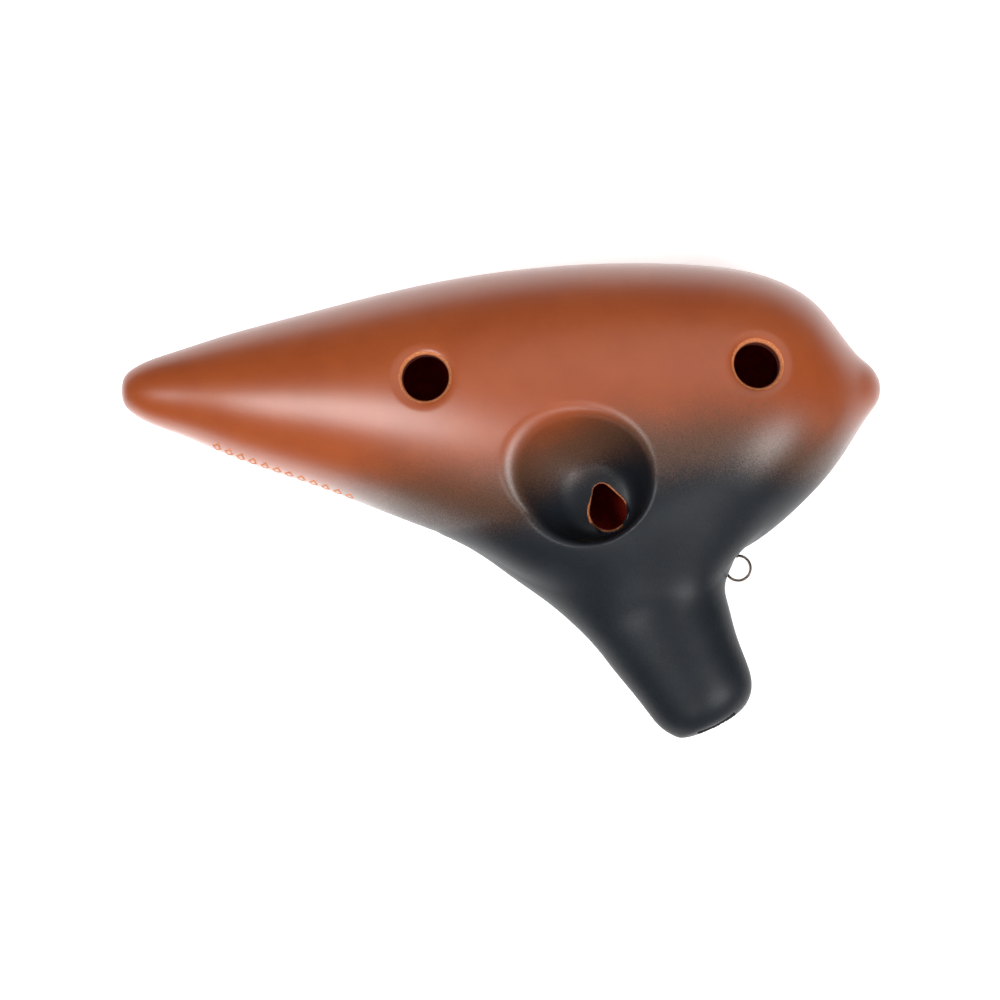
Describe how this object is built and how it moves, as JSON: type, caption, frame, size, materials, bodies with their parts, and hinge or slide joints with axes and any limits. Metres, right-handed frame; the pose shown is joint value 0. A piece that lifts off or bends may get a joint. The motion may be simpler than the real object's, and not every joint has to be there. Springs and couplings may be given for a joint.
{
  "type": "ocarina",
  "caption": "Transverse ceramic ocarina: long tapered chamber, side mouthpiece with slot windway, scooped voicing, tone holes on both faces and a small lanyard ring.",
  "frame": {"origin": "under the middle of the bounding box, on the plane that the ocarina lies on, finger-hole side down", "axes": "+X from the long tail to the blunt end, +Y away from the mouthpiece, +Z out of the thumb-hole side"},
  "size_m": [0.172, 0.1076, 0.046],
  "materials": {
    "smoked_clay": "satin",
    "dark_clay": "satin",
    "ring_wire": "satin"
  },
  "bodies": {
    "ocarina": {"back_shell": "smoked_clay", "front_shell": "smoked_clay", "mouthpiece_roof": "dark_clay", "mouthpiece_floor": "dark_clay"},
    "ring": {"lanyard_ring": "ring_wire"}
  },
  "joints": [
    {"name": "ring_swing", "type": "hinge", "parent": "ocarina", "child": "ring", "pos_m": [0.05203, -0.01412, 0.0225], "axis": [0.5373, 0.8434, 0], "range_deg": [-12, 12]}
  ]
}
